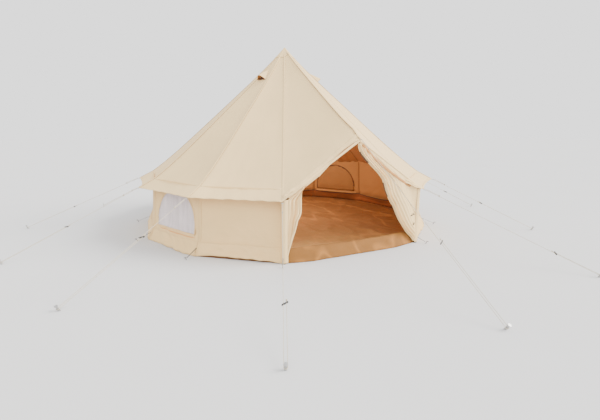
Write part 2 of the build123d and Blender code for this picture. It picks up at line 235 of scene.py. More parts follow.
def cloth(name, colour, variation=0.10):
    """Plain woven cloth: soft blotches, slubs along the threads, and a weave in relief."""
    n = Nodes(name, 0.92, sheen=0.05)
    blotch = n.noise(1.6, 5.0)
    slub = n.noise(9.0, 3.0, (1.0, 14.0, 1.0), "UV")
    weave = n.math("MULTIPLY", n.bands(THREAD, "X", 0.4), n.bands(THREAD * 1.15, "Y", 0.4))
    shade = n.math("ADD", n.math("MULTIPLY", blotch, 0.65), n.math("MULTIPLY", slub, 0.35))
    base = n.tones(shade, colour, (0.32, 1 - variation), (0.70, 1 + variation * 0.35))
    tinted = n.mix(0.16, base, n.tones(weave, colour, (0.0, 0.72), (1.0, 1.10)))
    height = n.math("ADD", weave, n.math("MULTIPLY", slub, 0.8))
    rough = n.math("ADD", n.math("MULTIPLY", slub, 0.12), 0.86)
    return n.finish(tinted, height, 0.35, 0.0006, rough)


def stitched(name, colour, width):
    """A doubled hem or seam: the cloth, with a row of stitches and a groove near each edge, puckered and
    painted darker as shade.
    """
    n = Nodes(name, 0.93, sheen=0.05)
    uv = n.add("ShaderNodeSeparateXYZ", {"Vector": n.places.outputs["UV"]})
    blotch = n.noise(2.0, 5.0)
    slub = n.noise(9.0, 3.0, (1.0, 14.0, 1.0), "UV")
    weave = n.math("MULTIPLY", n.bands(THREAD, "X", 0.4), n.bands(0.0012, "Y", 0.4))
    edge = n.math("ABSOLUTE", n.math("SUBTRACT", uv.outputs["Y"], width / 2))
    row = n.math("ABSOLUTE", n.math("SUBTRACT", edge, width * 0.36))
    groove = n.math("LESS_THAN", row, 0.0016)
    dash = n.math("LESS_THAN", n.math("FRACT", n.math("MULTIPLY", uv.outputs["X"], 1 / 0.007)), 0.62)
    stitch = n.math("MULTIPLY", n.math("LESS_THAN", row, 0.0007), dash)
    shade = n.math("ADD", n.math("MULTIPLY", blotch, 0.6), n.math("MULTIPLY", slub, 0.4))
    base = n.tones(shade, colour, (0.32, 0.90), (0.70, 1.03))
    # Painted shade: the groove is darkened.
    groove_shaded = n.mix(n.math("MULTIPLY", groove, 0.22), base, scaled(colour, 0.50))
    final = n.mix(stitch, groove_shaded, scaled(colour, 1.15))
    pucker = n.noise(60.0, 2.0, (1.0, 0.2, 1.0), "UV")
    height = n.math("SUBTRACT", n.math("ADD", n.math("MULTIPLY", weave, 0.25), pucker), groove)
    return n.finish(final, n.math("ADD", height, n.math("MULTIPLY", stitch, 1.6)), 0.5, 0.0012)


def netting(name, colour, alpha):
    """Fine insect mesh; it lets part of what is behind it show. Its soft vertical streaks are painted light
    and shade of folds.
    """
    n = Nodes(name, 0.75, sheen=0.1, alpha=alpha)
    net = n.math("MAXIMUM", n.bands(NET, "X"), n.bands(NET, "Y"))
    # Painted light and shade: soft vertical streaks, lighter and darker, as where the mesh hangs in folds.
    hanging = n.noise(2.2, 3.0, (7.0, 7.0, 0.6))
    base = n.tones(hanging, colour, (0.34, 0.80), (0.66, 1.12))
    threads = n.tones(net, colour, (0.35, 0.6), (0.6, 1.0))
    return n.finish(n.mix(0.3, base, threads), net, 0.4, 0.0005)


def coated(name, colour, shine, painted_daylight=0.0):
    """Coated groundsheet: ripstop squares, scuffs, painted highlights along fold lines, and painted daylight
    by the door.
    """
    n = Nodes(name, shine, sheen=0.03)
    n.shader.inputs["Specular IOR Level"].default_value = 0.25
    ripstop = n.math("MAXIMUM", n.bands(0.010, "X"), n.bands(0.010, "Y"))
    lines = n.math("GREATER_THAN", ripstop, 0.97)
    scuff = n.noise(22.0, 5.0, (1.0, 0.25, 1.0))
    base = n.tones(n.noise(1.3, 6.0), colour, (0.30, 0.80), (0.72, 1.10))
    worn = n.mix(n.math("MULTIPLY", n.math("GREATER_THAN", scuff, 0.66), 0.25), base, scaled(colour, 1.35))
    # Painted highlights: paler lines along folds, as the light that creases catch.
    off_crease_highlight = n.math("ABSOLUTE", n.math("SUBTRACT", n.noise(1.15, 2.0, (1.0, 0.40, 1.0)), 0.5))
    fold = n.math("MAXIMUM", n.math("SUBTRACT", 1.0, n.math("MULTIPLY", off_crease_highlight, 34.0)), 0.0)
    seen = n.mix(n.math("MULTIPLY", fold, 0.60), worn, scaled(colour, 1.75))
    if painted_daylight:
        # Painted daylight: paler towards the front and the door's left, as the daylight that comes in at the
        # door.
        at = n.add("ShaderNodeSeparateXYZ", {"Vector": n.places.outputs["Object"]})
        near_door = n.math("SUBTRACT", n.math("MULTIPLY", at.outputs["Y"], -0.62), 0.40)
        to_left = n.math("SUBTRACT", near_door, n.math("MULTIPLY", at.outputs["X"], 0.42))
        daylit_share = n.math("MULTIPLY", n.math("MAXIMUM", n.math("MINIMUM", to_left, 1.0), 0.0), painted_daylight)
        # The paler colour below is the painted daylight.
        dust = scaled((colour[0] * 0.95, colour[1] * 1.12, colour[2] * 1.05), 1.55)
        seen = n.mix(daylit_share, seen, dust)
    final = n.mix(n.math("MULTIPLY", lines, 0.25), seen, scaled(colour, 0.65))
    height = n.math("ADD", n.math("MULTIPLY", lines, 0.5), n.math("MULTIPLY", scuff, 0.8))
    rough = n.math("ADD", n.math("MULTIPLY", scuff, 0.25), shine - 0.1)
    return n.finish(final, height, 0.35, 0.001, rough)


def metal(name, colour, roughness, drawn=(1, 1, 1)):
    """Metal with fine drawn lines, mottling and dull patches."""
    n = Nodes(name, roughness, metallic=1.0)
    cells = n.add("ShaderNodeTexVoronoi", {"Vector": n.places.outputs["Object"], "Scale": 110.0})
    spangle = cells.outputs["Distance"]
    lines = n.noise(240.0, 3.0, drawn)
    dull = n.noise(7.0, 5.0)
    mottled = n.math("ADD", n.math("MULTIPLY", spangle, 0.5), n.math("MULTIPLY", dull, 0.5))
    base = n.tones(mottled, colour, (0.25, 0.72), (0.70, 1.0))
    rough = n.math("ADD", n.math("MULTIPLY", dull, 0.28), roughness - 0.10)
    return n.finish(base, n.math("ADD", lines, spangle), 0.25, 0.0005, rough)


def moulded(name, colour, roughness):
    """Moulded plastic or rubber with a fine spark-eroded grain and scuffed high spots."""
    n = Nodes(name, roughness)
    grain = n.noise(900.0, 3.0)
    dust = n.noise(35.0, 5.0)
    base = n.ramp(dust, (0.42, colour), (0.78, tuple(c + 0.05 for c in colour)))
    rough = n.math("ADD", n.math("MULTIPLY", dust, 0.25), roughness - 0.1)
    return n.finish(base, grain, 0.35, 0.0004, rough)


def woven_tape(name, colour):
    """Ribbed webbing, with a little fuzz."""
    n = Nodes(name, 0.8, sheen=0.15)
    ribs = n.bands(0.0016, "Y")
    picks = n.bands(0.0010, "X")
    fuzz = n.noise(180.0, 3.0)
    base = n.tones(fuzz, colour, (0.3, 0.75), (0.75, 1.3))
    return n.finish(base, n.math("MULTIPLY", ribs, picks), 0.6, 0.0008)


def braid(name, colour):
    """Braided cord: slanting strands, broken up by noise, with paler fuzz."""
    n = Nodes(name, 0.8, sheen=0.2)
    slant = {"Vector": n.places.outputs["Object"], "Scale": 55.0, "Distortion": 0.6}
    turns = n.add("ShaderNodeTexWave", slant, bands_direction="DIAGONAL").outputs["Fac"]
    strands = n.math("MULTIPLY", turns, n.noise(260.0, 2.0, (1.0, 1.0, 0.3)))
    base = n.tones(strands, colour, (0.12, 0.62), (0.45, 1.06))
    fuzz = n.tones(n.noise(400.0, 3.0), colour, (0.3, 1.0), (0.7, 1.2))
    return n.finish(n.mix(0.12, base, fuzz), strands, 0.7, 0.001)


def zip_material(name, colour):
    """Zip teeth, with dust on them."""
    n = Nodes(name, 0.55)
    teeth = n.bands(0.0022, "X")
    dust = n.noise(90.0, 4.0)
    base = n.tones(teeth, colour, (0.25, 0.45), (0.75, 1.4))
    return n.finish(n.mix(n.math("MULTIPLY", dust, 0.25), base, scaled(colour, 1.8)), teeth, 0.9, 0.0015)


CANVAS_COLOUR = (0.820, 0.592, 0.290)
# Painted light: the walls are the roof's canvas painted warmer, as the warm light that bounces onto them.
WALL_PAINTED_BOUNCE_COLOUR = (0.835, 0.574, 0.262)
# Painted light and shade: the canvas seen from inside is painted orange-brown, as the warm light that comes
# through the cloth and the dim inside. The inside hems, window covers and bands take shades of it.
INSIDE_PAINTED_LIGHT_COLOUR = (0.600, 0.290, 0.095)
CANVAS = cloth("canvas_cloth", CANVAS_COLOUR)
WALL_CANVAS_PAINTED_BOUNCE = cloth("wall_canvas_painted_bounce", WALL_PAINTED_BOUNCE_COLOUR)
CANVAS_INSIDE_PAINTED_LIGHT = cloth("canvas_inside_painted_light", INSIDE_PAINTED_LIGHT_COLOUR, 0.16)
# Painted light: the door's cloth is the canvas painted lighter, as the light on the flaps.
FLAP = cloth("door_canvas_painted_light", scaled(CANVAS_COLOUR, 1.08))
HEM_WIDTH = 0.030
# Painted shade: the hems are a little darker than the canvas.
HEM = stitched("canvas_hem", scaled(CANVAS_COLOUR, 0.96), HEM_WIDTH)
HEM_INSIDE = stitched("canvas_hem_inside", scaled(INSIDE_PAINTED_LIGHT_COLOUR, 0.62), HEM_WIDTH)
SHEER = netting("window_mesh", (0.80, 0.72, 0.74), 0.70)
COVER = cloth("window_cover_cloth", (0.74, 0.64, 0.60), 0.08)
COVER_INSIDE = cloth("window_cover_inside", scaled(INSIDE_PAINTED_LIGHT_COLOUR, 0.80), 0.14)
DOOR_MESH = netting("insect_door_mesh", (0.62, 0.52, 0.40), 0.80)
FLOOR = coated("groundsheet_coated", (0.325, 0.150, 0.048), 0.70, painted_daylight=0.9)
TUB = coated("tub_coated", (0.420, 0.155, 0.060), 0.56)
# Painted shade: the tub's outside, seen under the wall, is its cloth painted darker.
TUB_OUTSIDE_PAINTED_SHADE = coated("tub_coated_outside_painted_shade", (0.130, 0.056, 0.024), 0.60)
SILL = coated("sill_coated", (0.245, 0.107, 0.024), 0.80)
STEEL = metal("galvanised_tube", (0.62, 0.62, 0.61), 0.38, (1, 1, 0.02))
CAST = metal("cast_aluminium", (0.50, 0.50, 0.50), 0.50)
ZINC = metal("galvanised_wire", (0.55, 0.55, 0.54), 0.42)
BLACK_STEEL = metal("painted_peg", (0.045, 0.045, 0.045), 0.55)
RUBBER = moulded("black_rubber", (0.020, 0.020, 0.021), 0.75)
PLASTIC = moulded("black_plastic", (0.016, 0.016, 0.018), 0.48)
WEBBING = woven_tape("black_webbing", (0.035, 0.032, 0.030))
ROPE = braid("rope_braid", (0.62, 0.55, 0.42))
ZIP = zip_material("zip_teeth", (0.060, 0.030, 0.018))
ZIP_TAPE = woven_tape("zip_tape", (0.110, 0.055, 0.030))


# ---------------------------------------------------------------- mesh helpers
class Build:
    """Points, faces and metric UVs of a piece."""

    def __init__(self):
        self.points, self.faces, self.uvs = [], [], []

    def grid(self, rows, closed=False):
        """A surface through rows of points; UVs are metres along the rows and across them."""
        start, width = len(self.points), len(rows[0])
        middle = width // 2
        down = [0.0]
        for a, b in zip(rows, rows[1:]):
            down.append(down[-1] + (b[middle] - a[middle]).length)
        places = []
        for j, row in enumerate(rows):
            across = 0.0
            for i, point in enumerate(row):
                across += (point - row[i - 1]).length if i else 0.0
                self.points.append(point)
                places.append((down[j], across))
        last = width if closed else width - 1
        for j in range(len(rows) - 1):
            for i in range(last):
                k = (i + 1) % width
                face = (j * width + i, j * width + k, (j + 1) * width + k, (j + 1) * width + i)
                self.faces.append(tuple(start + n for n in face))
                wrapped = [places[n] for n in face]
                if k == 0:
                    seam = places[face[0]][1] + 0.01
                    wrapped[1] = (wrapped[1][0], seam)
                    wrapped[2] = (wrapped[2][0], seam)
                self.uvs.append(wrapped)
        return self

    def flat(self, outline, hole, spacing, lift):
        """A patch inside a flat outline, less a hole, lifted into place point by point."""
        start = len(self.points)
        loops = [outline] + ([hole] if hole else [])
        points, edges = [], []
        for loop in loops:
            first = len(points)
            points += [Vector(p) for p in loop]
            edges += [(first + k, first + (k + 1) % len(loop)) for k in range(len(loop))]
        low = [min(p[i] for p in outline) for i in (0, 1)]
        high = [max(p[i] for p in outline) for i in (0, 1)]
        columns, lines = (ceil((high[i] - low[i]) / spacing) for i in (0, 1))
        clear = spacing * 0.45
        for i in range(1, columns):
            for j in range(1, lines):
                x = low[0] + (high[0] - low[0]) * i / columns
                y = low[1] + (high[1] - low[1]) * j / lines
                if holds(loops, x, y) and all(distance(loop, x, y) > clear for loop in loops):
                    points.append(Vector((x, y)))
        made, _, triangles, *_ = delaunay_2d_cdt(points, edges, [], 0, 1e-6)
        self.points += [lift(p.x, p.y) for p in made]
        for triangle in triangles:
            centre = sum((made[n] for n in triangle), Vector((0, 0))) / 3
            if holds(loops, centre.x, centre.y):
                self.faces.append(tuple(start + n for n in triangle))
                self.uvs.append([tuple(made[n]) for n in triangle])
        return self

    def tube(self, path, radius, sides=10):
        """A round rod along a path, with closed ends."""
        rows, across = [], None
        for k, point in enumerate(path):
            ahead = (path[min(k + 1, len(path) - 1)] - path[max(k - 1, 0)]).normalized()
            if across is None:
                across = ahead.orthogonal().normalized()
            across = (across - ahead * across.dot(ahead)).normalized()
            other = ahead.cross(across)
            share = 0.6 if k in (0, len(path) - 1) else 1.0
            ring = [across * cos(2 * pi * n / sides) + other * sin(2 * pi * n / sides) for n in range(sides)]
            rows.append([point + v * radius * share for v in ring])
        start = len(self.points)
        self.grid(rows, closed=True)
        for ends in (range(sides - 1, -1, -1), range((len(rows) - 1) * sides, len(rows) * sides)):
            self.faces.append(tuple(start + n for n in ends))
            self.uvs.append([(0.0, 0.0)] * sides)
        return self

    def band(self, stations, width, lift):
        """A flat strip sewn onto a surface. A station is a point of its middle, its side and its normal."""
        half, edge = width / 2, width * 0.12
        section = ((-half, 0.0), (-half + edge, lift), (0.0, lift), (half - edge, lift), (half, 0.0))
        return self.grid([[p + side * x + normal * y for x, y in section] for p, side, normal in stations])


def holds(loops, x, y):
    """True if an odd number of the loops go round this point."""
    inside = False
    for loop in loops:
        for (ax, ay), (bx, by) in zip(loop, loop[1:] + loop[:1]):
            if (ay > y) != (by > y) and x < ax + (bx - ax) * (y - ay) / (by - ay):
                inside = not inside
    return inside


def distance(loop, x, y):
    best = 1e9
    for (ax, ay), (bx, by) in zip(loop, loop[1:] + loop[:1]):
        dx, dy = bx - ax, by - ay
        share = max(0.0, min(1.0, ((x - ax) * dx + (y - ay) * dy) / max(dx * dx + dy * dy, 1e-12)))
        best = min(best, hypot(x - ax - dx * share, y - ay - dy * share))
    return best


def piece(name, build, materials, body="tent", replaces=(), thickness=0.0, merge=0.0, rides=True):
    """A mesh piece that rides on a body. With a thickness, its back takes the second material."""
    mesh = bpy.data.meshes.new(name)
    mesh.from_pydata([tuple(p) for p in build.points], [], build.faces)
    layer = mesh.uv_layers.new(name="metres")
    for polygon, places in zip(mesh.polygons, build.uvs):
        polygon.use_smooth = True
        for loop, uv in zip(polygon.loop_indices, places):
            layer.data[loop].uv = uv
    if merge:
        work = bmesh.new()
        work.from_mesh(mesh)
        bmesh.ops.remove_doubles(work, verts=work.verts, dist=merge)
        work.to_mesh(mesh)
        work.free()
    obj = link(bpy.data.objects.new(name, mesh))
    for material in materials:
        obj.data.materials.append(material)
    if thickness:
        solid = obj.modifiers.new("thickness", "SOLIDIFY")
        solid.thickness = thickness
        solid.offset = -1.0
        solid.material_offset = len(materials) - 1
    if rides:
        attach(obj, body)
    if replaces:
        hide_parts(*replaces)
    return obj


def trimming(name, build, material, body="tent"):
    """Seams, hems and bands sewn onto the cloth."""
    return piece(name, build, [material], body=body, thickness=TRIM)


def zip_pieces(tape_name, tape, teeth_name, teeth, body="tent"):
    piece(tape_name, tape, [ZIP_TAPE], body=body, thickness=0.0006)
    piece(teeth_name, teeth, [ZIP], body=body, thickness=0.0006)


def ripple(x, y, z, seed):
    return noise.noise(Vector((x, y, z + 17.3 * seed)))


def mixed(a, b, share):
    return a + (b - a) * share


def facing_out(rows):
    """The same rows the other way round, so that the cloth's face is on the outside."""
    return [list(reversed(row)) for row in rows]


# ---------------------------------------------------------------- cords
def guy_line(guy):
    _, corner, azimuth, radius, _ = guy
    tip = (0.0, *DOOR_PEAK) if corner is None else (CORNERS[corner], *EAVE_TIP)
    start = place(tip[0], tip[1] + RING_REACH, tip[2] - RING_DROP) + outward(tip[0]) * RING_RADIUS
    line = place(azimuth, radius, ROPE_AT_STAKE_Z) - start
    direction = line.normalized()
    side = Vector((0, 0, 1)).cross(direction).normalized()
    normal = direction.cross(side)
    return lambda down, across, up: start + direction * down + side * across + normal * up, line.length


def guy_route(guy):
    """The rope's route: from its upper knot to the ring and back, round the stake, to its end past
    the runner. The corners stand further out than the rope, because the line passes inside them."""
    at, length = guy_line(guy)
    loop, turn, out = RING_TURN, STAKE_TURN, TURN_OUT
    return [
        at(KNOT_DISTANCE, 0, loop), at(NEAR_END, 0, loop), at(-loop - out, 0, loop + out / 2),
        at(-loop - out, 0, -loop - out / 2), at(NEAR_END, 0, -loop), at(length - NEAR_END, 0, -loop),
        at(length + turn + out, -out, -loop), at(length + turn + out, 2 * turn + out, -loop),
        at(length - NEAR_END, 2 * turn, -loop), at(guy[4] - STOP_KNOT_AHEAD, 2 * turn, -loop),
    ]


def rope_curve(name, points):
    curve = bpy.data.curves.new(name, "CURVE")
    curve.dimensions = "3D"
    curve.bevel_depth = ROPE_D / 2
    curve.bevel_resolution = 3
    curve.resolution_u = 10
    curve.use_fill_caps = True
    spline = curve.splines.new("NURBS")
    spline.points.add(len(points) - 1)
    for control, point in zip(spline.points, points):
        control.co = (*point, 1.0)
    spline.order_u = 3
    spline.use_endpoint_u = True
    curve.materials.append(ROPE)
    return link(bpy.data.objects.new(name, curve))


def knot(name, at, down, across, reach):
    """Turns of the rope round its own strands; reach is half the knot's inside, across and up."""
    turns, steps = 3, 20
    pitch = ROPE_D * 1.05
    path = []
    for k in range(turns * steps + 1):
        a = 2 * pi * k / steps
        up = -RING_TURN * (reach[1] < RING_TURN) + (reach[1] + ROPE_D / 2) * sin(a)
        path.append(at(down + pitch * k / steps, across + (reach[0] + ROPE_D / 2) * cos(a), up))
    made = Build().tube(path, ROPE_D / 2, 8)
    return piece(name, made, [ROPE])


def rope_length(points):
    """Length of the route, less what the line saves at its two turns."""
    return sum((b - a).length for a, b in zip(points, points[1:])) - TURN_SAVING


def guy_ropes():
    for guy in GUYS:
        name = guy[0]
        at, _ = guy_line(guy)
        points = guy_route(guy)
        rope = rope_curve(f"rope_{name}", points)
        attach(rope, "tent")
        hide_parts(f"guy_rope_{name}")
        round_two = (ROPE_D / 2, RING_TURN + ROPE_D / 2)
        upper = knot(f"upper_knot_{name}", at, KNOT_DISTANCE - 0.012, 0.0, round_two)
        ahead = guy[4] - STOP_KNOT_AHEAD
        stop = knot(f"stop_knot_{name}", at, ahead - 0.002, 2 * STAKE_TURN, (ROPE_D / 2, ROPE_D / 2))
        tuple(points[0])
        round(rope_length(points), 3)


guy_ropes()


# ---------------------------------------------------------------- roof
def belly(t):
    """0 at both ends, and nearly 1 in between."""
    return 1 - (1 - 2 * t) ** 4


def seam_line(t):
    """Radius and height of a corner seam: t is 0 at the apex, 1 over the wall and 2 at the eave's tip."""
    if t > 1:
        return mixed(WALL_TOP[0], EAVE_TIP[0], t - 1), mixed(WALL_TOP[1], EAVE_TIP[1], t - 1)
    return WALL_TOP[0] * t, mixed(ROOF_HEIGHT, WALL_TOP[1], t) - ROOF_SAG * belly(t)


def ridge_line(t):
    """Radius and height of the ridge over the door, on the same scale."""
    if t > 1:
        return mixed(RIDGE_BEND[0], DOOR_PEAK[0], t - 1), mixed(RIDGE_BEND[1], DOOR_PEAK[1], t - 1)
    return RIDGE_BEND[0] * t, mixed(ROOF_HEIGHT, RIDGE_BEND[1], t) - ROOF_SAG * 0.7 * belly(t)


def front_drop(azimuth, share):
    """How far the front edge hangs below the straight line from the eave's tip, where share is 0,
    to the door's peak, where it is 1."""
    if azimuth > 0:
        return RIGHT_DROOP * sin(pi * share) ** 0.7 if 0 < share < 1 else 0.0
    wave = sin(2.24 * pi * (1 - share)) * min(1.0, 4 * share)
    return -LEFT_RISE * wave if wave > 0 else -LEFT_DROOP * wave


def roof(azimuth, t):
    """A point of the roof's outer face."""
    azimuth = (azimuth + HALF_DOOR) % 360 - HALF_DOOR
    hanging = max(0.0, t - 1)
    if azimuth <= HALF_DOOR:
        corner = copysign(HALF_DOOR, azimuth)
        share = 1 - abs(azimuth) / HALF_DOOR
        middle = corner * 0.5
        point = place(corner, *seam_line(t)).lerp(place(0, *ridge_line(t)), share)
        point.z -= front_drop(azimuth, share) * max(0.0, (hanging - 0.78) / 0.22)
        seed = 11 + (azimuth > 0)
    else:
        side = min(10, int((azimuth - HALF_DOOR) / SIDE_ANGLE))
        start = CORNERS[side]
        share = (azimuth - start) / SIDE_ANGLE
        middle = start + SIDE_ANGLE / 2
        point = place(start, *seam_line(t)).lerp(place(start + SIDE_ANGLE, *seam_line(t)), share)
        seed = side
    arch = 4 * share * (1 - share)
    slope = outward(middle) * 0.65 + Vector((0, 0, 0.76))
    point -= slope * GORE_SAG * arch * min(1.0, t * 1.4)
    if azimuth > HALF_DOOR:
        point -= outward(middle) * EAVE_SCALLOP * arch * hanging
        point.z += 0.010 * arch * hanging
    radius = max(point.xy.length, 0.05)
    x = (share - 0.5) * radius * 0.5
    y = radius
    soft = ripple(x * 1.6, y * 1.1, 0.0, seed) * 0.010
    pulled = ripple(x * 7.0, y * 0.9, 3.0, seed) * 0.0045
    from_seam = (0.5 - abs(share - 0.5)) * radius * 0.5
    fan = sin(atan2(from_seam, max(0.02, 2.75 - y)) * 21.0 + seed)
    strain = 0.0045 * exp(-hypot(from_seam, max(0.0, 2.62 - y)) / 0.55) * fan
    gathered = 0.015 if seed in REAR_GORES else 0.004
    uneven = 1 + ripple(share * 4, y, 1, seed)
    pleats = gathered * sin(share * 2 * pi * 6 + seed) * max(0.0, t - 0.45) * uneven
    return point + slope * (soft + pulled + strain + pleats) * min(1.0, arch * 2.2)


def roof_station(azimuth, t, lift=0.0):
    """A point on the roof, its level side and its normal."""
    point = roof(azimuth, t)
    side = (roof(azimuth + 0.4, t) - roof(azimuth - 0.4, t)).normalized()
    down = (roof(azimuth, t + 0.01) - roof(azimuth, t - 0.01)).normalized()
    normal = side.cross(down)
    normal = -normal if normal.z < 0 else normal
    return point + normal * lift, side, normal


def roof_rows():
    azimuths = []
    for corner in CORNERS[:-1]:
        azimuths += [corner + SIDE_ANGLE * i / 18 for i in range(18)]
    azimuths += [CORNERS[11] + HALF_DOOR * i / 14 for i in range(14)]
    azimuths += [360 + HALF_DOOR * i / 14 for i in range(14)]
    depths = [0.012 + 0.988 * (i / 44) for i in range(45)] + [1 + i / 9 for i in range(1, 7)]
    depths += [1.74, 1.78, 1.82, 1.86, 1.89, 1.92, 1.95, 1.975, 2.0]
    return [[roof(a, t) for a in azimuths] for t in depths]


def make_roof():
    body = Build().grid(facing_out(roof_rows()), closed=True)
    roof_sheet = piece("roof_cloth", body, [CANVAS, CANVAS_INSIDE_PAINTED_LIGHT], thickness=CLOTH,
                       replaces=("roof_canvas", "eave_valance"))
    seams, inside, hems = Build(), Build(), Build()
    for azimuth in CORNERS + [0.0]:
        stations, under = [], []
        for i in range(61):
            t = 0.055 + 1.935 * i / 60
            p, side, normal = roof_station(azimuth, t, 0.0006)
            stations.append((p, side, normal))
            under.append((p - normal * 0.0030, side, -normal))
        seams.band(stations, HEM_WIDTH, 0.0022)
        inside.band(under, HEM_WIDTH, 0.0030)
    for corner in CORNERS[:-1]:
        spans = [corner + SIDE_ANGLE * i / 24 for i in range(25)]
        for t, width in ((1.94, HEM_WIDTH), (1.0, HEM_WIDTH * 0.8)):
            seams.band([down_slope(roof_station(a, t, 0.0004)) for a in spans], width, 0.0022)
        inside.band([under_slope(roof_station(a, 1.0, 0.0)) for a in spans], HEM_WIDTH, 0.0030)
    seam_piece = trimming("roof_seams", seams, HEM)
    trimming("roof_seams_inside", inside, HEM_INSIDE)
    for start, t, width in ((-HALF_DOOR, 1.66, 0.070), (0.0, 1.90, 0.034)):       # left, then right
        spans = [start + HALF_DOOR * i / 30 for i in range(31)]
        hems.band([down_slope(roof_station(a, t, 0.0006)) for a in spans], width, 0.0050)
    # Painted highlight: the door's hem is painted lighter than the canvas, as the light its raised band
    # catches.
    hem = trimming("door_roof_hem", hems, stitched("door_hem_painted_highlight", scaled(CANVAS_COLOUR, 1.06), 0.042))


def down_slope(station):
    """The same station, for a band that runs level: its width goes down the slope."""
    point, side, normal = station
    return point, normal.cross(side), normal


def under_slope(station):
    point, side, normal = station
    return point - normal * 0.0015, side.cross(normal), -normal


def make_apex_cap():
    cap, rim = Build(), Build()
    azimuths = [360 * i / 72 for i in range(72)]
    rows = []
    for i in range(13):
        t = 0.075 * (i / 12)
        row = []
        for a in azimuths:
            p = roof(a, max(t, 0.002))
            drape = 0.004 + 0.0012 * sin(radians(a) * 12) * (i / 12)
            row.append(p + Vector((0, 0, drape)) + outward(a) * 0.003)
        rows.append(row)
    cap.grid(facing_out(rows), closed=True)
    piece("apex_cap_cloth", cap, [CANVAS], replaces=("apex_cap",), thickness=0.0016)
    rim.band([down_slope(roof_station(a, 0.069, 0.0062)) for a in azimuths + azimuths[:1]], 0.020, 0.0015)
    # Painted shade: the cap's hem is a little darker than the canvas.
    piece("apex_cap_stitching", rim, [stitched("cap_hem", scaled(CANVAS_COLOUR, 0.95), 0.020)],
          thickness=0.0006)


def make_vents():
    """Peaked hoods: cloth over a bent wire, open down the slope, over a mesh vent; the mesh is dark and
    solid, as painted shadow in the hole.
    """
    hoods, shades, wires = Build(), Build(), Build()
    top, mouth, half, rise = 0.172, 0.248, 0.088, 0.098
    for side in VENT_SIDES:
        middle = CORNERS[side] + SIDE_ANGLE / 2

        def on_roof(u, v, middle=middle):
            """u runs across the hood from -1 to 1, and v from its point at the top to its mouth."""
            t = mixed(top, mouth, v)
            spread = half * v ** 0.8 * (1.0 + 0.10 * v)
            p, level, normal = roof_station(middle, t, 0.004)
            peak = rise * v ** 0.9 * (1 - abs(u) ** 1.5)
            crumple = 0.004 * ripple(u * 3, v * 4, side, 5) * v
            return p + level * u * spread + normal * (peak + crumple)

        rows = [[on_roof(-1 + 2 * i / 24, j / 14) for i in range(25)] for j in range(15)]
        hoods.grid(facing_out(rows))
        floor = []
        for j in range(8):
            t = mixed(top + 0.010, mouth, j / 7)
            p, level, normal = roof_station(middle, t, 0.0022)
            floor.append([p + level * half * 0.94 * (j / 7) * (-1 + 2 * i / 8) for i in range(9)])
        shades.grid(facing_out(floor))
        wires.tube([on_roof(-1 + 2 * i / 24, 0.985) - Vector((0, 0, 0.003)) for i in range(25)], 0.003, 8)
    piece("vent_hood_cloth", hoods, [CANVAS, CANVAS_INSIDE_PAINTED_LIGHT], thickness=0.0016,
          replaces=("vent_hoods",))
    # The vent's mesh is real; it is dark and opaque as painted shadow of the hole under the hood.
    piece("vent_mesh_painted_shadow", shades, [netting("vent_netting_painted_shadow", (0.110, 0.045, 0.018), 1.0)])
    binding = stitched("vent_binding", scaled(INSIDE_PAINTED_LIGHT_COLOUR, 0.8), 0.006)
    piece("vent_wires", wires, [binding])


make_roof()
make_apex_cap()
make_vents()


# ---------------------------------------------------------------- walls
SEAM_Z = WALL_TOP[1] - 0.001
FRONT_CREASE = {9: 2.1, 10: 2.4}      # the walls left of the door are the more crumpled ones
SILL_POINTS = 25                      # along a window's sill, corners included
SILL_BAND = 0.045
LIFTED_SIDE = 10                      # the tub shows under this wall


def wall_radius(z):
    """Radius of the wall's corners: upright down to the skirt, then flaring to the ground."""
    upright = mixed(SKIRT_TOP[0], WALL_TOP[0] - 0.004, (z - SKIRT_TOP[1]) / (SEAM_Z - SKIRT_TOP[1]))
    flared = mixed(FLOOR_RADIUS, SKIRT_TOP[0], z / SKIRT_TOP[1])
    soft = 0.012
    rounded = 0.5 * (upright + flared + sqrt((flared - upright) ** 2 + soft**2))
    return rounded - soft / 2 * exp(-abs(z - SKIRT_TOP[1]) * 9)


def furthest_in(z):
    """How far in the wall may be pushed at this height and still clear the tub behind it."""
    return -0.005 - 0.05 * min(z, 0.20) - 0.30 * max(0.0, z - 0.20)


def wall_point(side, x, z, out=0.0):
    """A point on a side's wall: x from its middle towards its later corner, z its height when smooth."""
    middle = CORNERS[side] + SIDE_ANGLE / 2
    radius = wall_radius(z)
    half = radius * HALF_SIDE
    arch = max(0.0, 1 - (x / half) ** 2)
    held = min(1.0, arch * 2.5)
    low = max(0.0, 1 - z / 0.42)
    soft = ripple(x * 1.5, z * 1.5, 0.0, side) * 0.012 * min(1.0, (SEAM_Z - z) * 6)
    level = ripple(x * 1.4 + z * 2.0, z * 17.0, 5.0, side) * (0.0020 + 0.018 * low)
    slanted = ripple((x + z * 1.6) * 8.0, z * 1.8, 9.0, side) * (0.0025 + 0.012 * low)
    suck = -0.016 * arch * sin(pi * min(1.0, z / SEAM_Z)) ** 2 + 0.009 * low * held
    lifted = 0.020 * max(0.0, ripple(x * 2.4, 0.0, 2.0, side)) * arch * max(0.0, 1 - z / 0.10)
    push = max((soft + level + slanted) * held * FRONT_CREASE.get(side, 1.0) + suck, furthest_in(z))
    if side == LIFTED_SIDE:
        lifted += 0.028 * min(1.0, arch * 1.6) * max(0.0, 1 - z / 0.10)
    p = outward(middle) * (radius * APOTHEM + push + out) + along(middle) * x
    return Vector((p.x, p.y, z + lifted))


